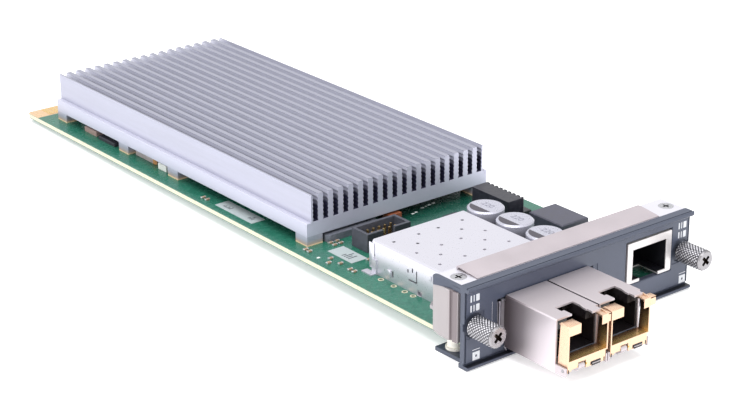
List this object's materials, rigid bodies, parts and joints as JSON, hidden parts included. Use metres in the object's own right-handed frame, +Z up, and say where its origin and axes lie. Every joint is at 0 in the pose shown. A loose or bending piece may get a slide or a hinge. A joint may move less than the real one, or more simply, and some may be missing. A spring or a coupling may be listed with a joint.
{
  "type": "intercom interface card",
  "caption": "Plug-in interface card: circuit board with finned heat sink, gasketed metal front panel, two pull-out port modules with bails, a fixed jack and captive thumbscrews.",
  "frame": {"origin": "middle of the front panel's underside, on the panel's front face plane", "axes": "+X to the right seen from the front, +Y back along the board, +Z up"},
  "size_m": [0.0796, 0.2406, 0.023],
  "materials": {
    "panel": "satin powder coat",
    "label_film": "smooth film",
    "rail_metal": "bare satin",
    "gasket_cloth": "conductive cloth",
    "screw_steel": "zinc plated",
    "nylon": "moulded",
    "board_green": "solder mask",
    "gold": "gold plated",
    "sink_aluminium": "matte extruded",
    "pad_cream": "soft",
    "thermal_pad": "soft",
    "chip_black": "moulded",
    "choke_grey": "ferrite",
    "tantalum": "moulded",
    "cage_tin": "bright tin",
    "jack_steel": "tinned shield",
    "can_aluminium": "bright",
    "shell_nickel": "satin nickel",
    "bail_gold": "pale gold plate",
    "pin_steel": "turned",
    "label_paper": "paper label"
  },
  "bodies": {
    "card": {"front_panel": "panel", "face_label": "label_film", "top_rail": "rail_metal", "top_gasket": "gasket_cloth", "side_gasket": "gasket_cloth", "rail_screws": "screw_steel", "board_spacers": "nylon", "board_screws": "screw_steel", "main_board": "board_green", "edge_contacts": "gold", "heatsink": "sink_aluminium", "heatsink_pads": "pad_cream", "heatsink_screws": "screw_steel", "processor": "chip_black", "network_chip": "chip_black", "memory_chips": "chip_black", "thermal_pads": "thermal_pad", "power_choke": "choke_grey", "small_chips": "chip_black", "tantalum_capacitors": "tantalum", "low_connector": "chip_black", "module_cage": "cage_tin", "cage_divider": "cage_tin", "cage_guides": "cage_tin", "cage_collar": "cage_tin", "cage_ground_tab": "cage_tin", "host_connectors": "chip_black", "jack_shell": "jack_steel", "jack_insert": "chip_black", "jack_contacts": "gold", "can_capacitors": "can_aluminium", "capacitor_bases": "chip_black", "header_shell": "chip_black", "header_pins": "gold", "power_module": "chip_black", "square_converter": "chip_black", "board_labels": "label_paper"},
    "left_module": {"left_module_shell": "shell_nickel", "left_module_insert": "chip_black", "left_module_contacts": "gold", "left_module_board": "board_green", "left_bail_pin": "pin_steel"},
    "left_bail": {"left_bail": "bail_gold"},
    "left_screw_ring": {"left_retaining_ring": "screw_steel"},
    "left_screw": {"left_thumbscrew": "screw_steel"},
    "right_module": {"right_module_shell": "shell_nickel", "right_module_insert": "chip_black", "right_module_contacts": "gold", "right_module_board": "board_green", "right_bail_pin": "pin_steel"},
    "right_bail": {"right_bail": "bail_gold"},
    "right_screw_ring": {"right_retaining_ring": "screw_steel"},
    "right_screw": {"right_thumbscrew": "screw_steel"}
  },
  "joints": [
    {"name": "left_module_slide", "type": "slide", "parent": "card", "child": "left_module", "axis": [0, -1, 0], "range_m": [0, 0.06]},
    {"name": "left_bail_hinge", "type": "hinge", "parent": "left_module", "child": "left_bail", "pos_m": [-0.01932, -0.0212, 0.004], "axis": [1, 0, 0], "range_deg": [0, 90]},
    {"name": "right_module_slide", "type": "slide", "parent": "card", "child": "right_module", "axis": [0, -1, 0], "range_m": [0, 0.06]},
    {"name": "right_bail_hinge", "type": "hinge", "parent": "right_module", "child": "right_bail", "pos_m": [-0.00507, -0.0212, 0.004], "axis": [1, 0, 0], "range_deg": [0, 90]},
    {"name": "left_screw_draw", "type": "slide", "parent": "card", "child": "left_screw_ring", "axis": [0, -1, 0], "range_m": [0, 0.006]},
    {"name": "left_screw_turn", "type": "hinge", "parent": "left_screw_ring", "child": "left_screw", "pos_m": [-0.036, 0, 0.0112], "axis": [0, -1, 0], "continuous": true},
    {"name": "right_screw_draw", "type": "slide", "parent": "card", "child": "right_screw_ring", "axis": [0, -1, 0], "range_m": [0, 0.006]},
    {"name": "right_screw_turn", "type": "hinge", "parent": "right_screw_ring", "child": "right_screw", "pos_m": [0.036, 0, 0.0112], "axis": [0, -1, 0], "continuous": true}
  ]
}
